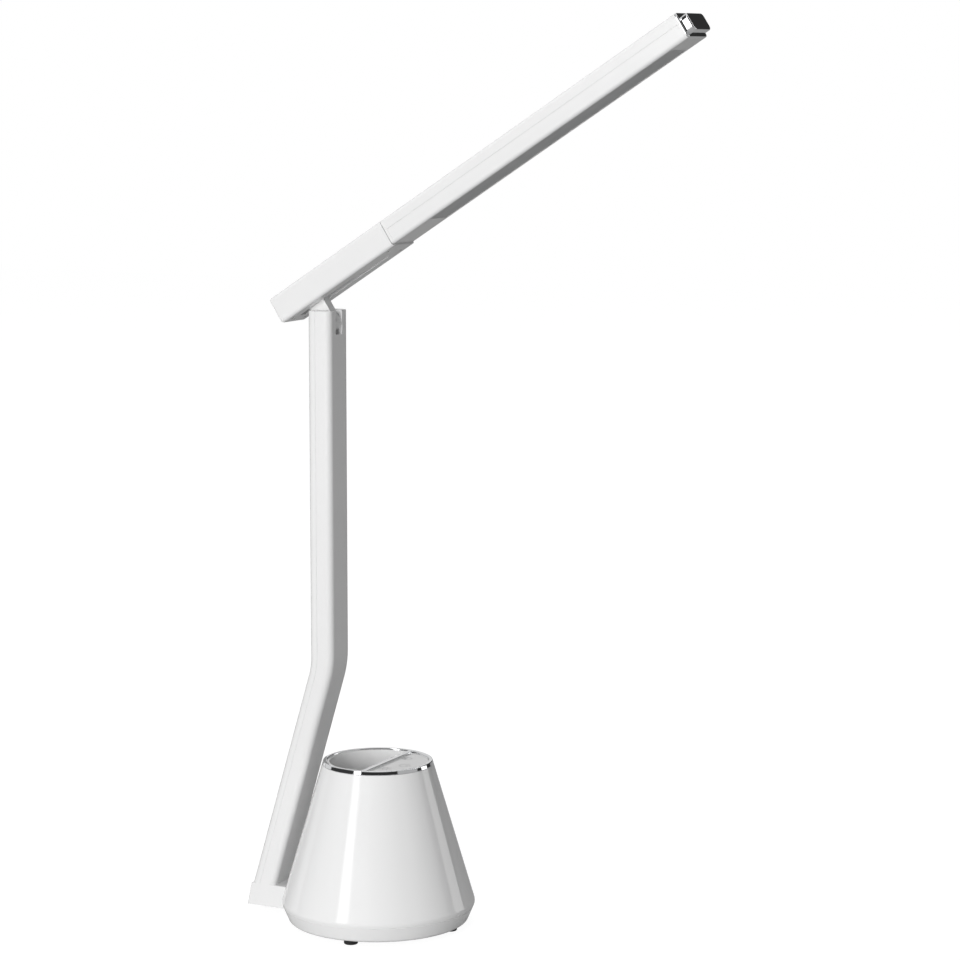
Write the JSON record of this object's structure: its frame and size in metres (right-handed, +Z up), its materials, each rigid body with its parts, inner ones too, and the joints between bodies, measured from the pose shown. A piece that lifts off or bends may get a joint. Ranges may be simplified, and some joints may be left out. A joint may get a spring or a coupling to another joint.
{
  "type": "desk lamp",
  "caption": "Desk lamp with a hinged, rolling light bar on a bent stem over a cone base that holds a pen cup beside a touch panel.",
  "frame": {"origin": "centre of the round base, on the desk surface that its feet stand on", "axes": "+Z up; +X the way the light bar points in plan; +Y across the light bar, away from the picture's camera"},
  "size_m": [0.3619, 0.1446, 0.6747],
  "materials": {
    "white_gloss": "glossy white moulded plastic",
    "white_panel": "glossy white with faint grey touch marks",
    "chrome_trim": "bright mirror plating",
    "opal_diffuser": "translucent opal, satin",
    "dark_rubber": "matt",
    "cast_weight": "as cast",
    "steel": "zinc plated",
    "nickel_nut": "nickel plated",
    "black_plastic": "fine texture",
    "grey_nylon": "plain moulded",
    "board_green": "solder resist",
    "board_white": "white solder resist",
    "led_yellow": "phosphor windows",
    "aluminium_bar": "mill finish",
    "grey_insulation": "flexible lead sleeving",
    "soft_pads": "conductive foam"
  },
  "bodies": {
    "base_and_stem": {"rubber_feet": "dark_rubber", "base_dish": "white_gloss", "cone_shell": "white_gloss", "base_screws": "steel", "rim_ring": "chrome_trim", "pen_cup": "white_gloss", "divider_bar": "chrome_trim", "touch_panel": "white_panel", "touch_pads": "soft_pads", "touch_board": "board_green", "touch_board_screws": "steel", "ballast_plate": "cast_weight", "board_spacers": "steel", "control_board": "board_green", "control_board_screws": "steel", "board_components": "black_plastic", "touch_ribbon": "grey_insulation", "power_inlet": "black_plastic", "power_inlet_nut": "nickel_nut", "power_wires": "grey_insulation", "foot_bracket": "white_gloss", "bracket_tongue_screws": "steel", "bracket_cover": "white_gloss", "stem_foot_block": "steel", "stem_foot_screws": "steel", "stem_shell": "white_gloss", "stem_back_cover": "white_gloss", "stem_core": "steel", "stem_wiring": "grey_insulation", "hinge_clevis": "steel", "hinge_pin": "steel", "hinge_pin_nut": "steel", "hinge_washers": "steel"},
    "rear_head": {"neck": "white_gloss", "rear_housing": "white_gloss", "rear_bottom_cover": "white_gloss", "neck_screws": "steel", "rear_cover_screws": "steel", "roll_bush": "grey_nylon", "head_wiring": "grey_insulation"},
    "light_bar": {"roll_spindle": "steel", "spindle_screws": "steel", "spring_washer": "steel", "spindle_clip": "steel", "light_top_cover": "white_gloss", "light_tray": "white_gloss", "diffuser": "opal_diffuser", "led_board": "board_white", "led_chips": "led_yellow", "heat_spreader": "aluminium_bar", "heat_spreader_screws": "steel", "light_wiring": "grey_insulation", "end_cap_flange": "chrome_trim", "end_cap_block": "chrome_trim"}
  },
  "joints": [
    {"name": "head_tilt", "type": "hinge", "parent": "base_and_stem", "child": "rear_head", "pos_m": [-0.03739, 0, 0.4508], "axis": [0, -1, 0], "range_deg": [-105, 57]},
    {"name": "head_roll", "type": "hinge", "parent": "rear_head", "child": "light_bar", "pos_m": [0.01769, 0, 0.51938], "axis": [0.8415, 0, 0.5402], "range_deg": [-90, 90]}
  ]
}
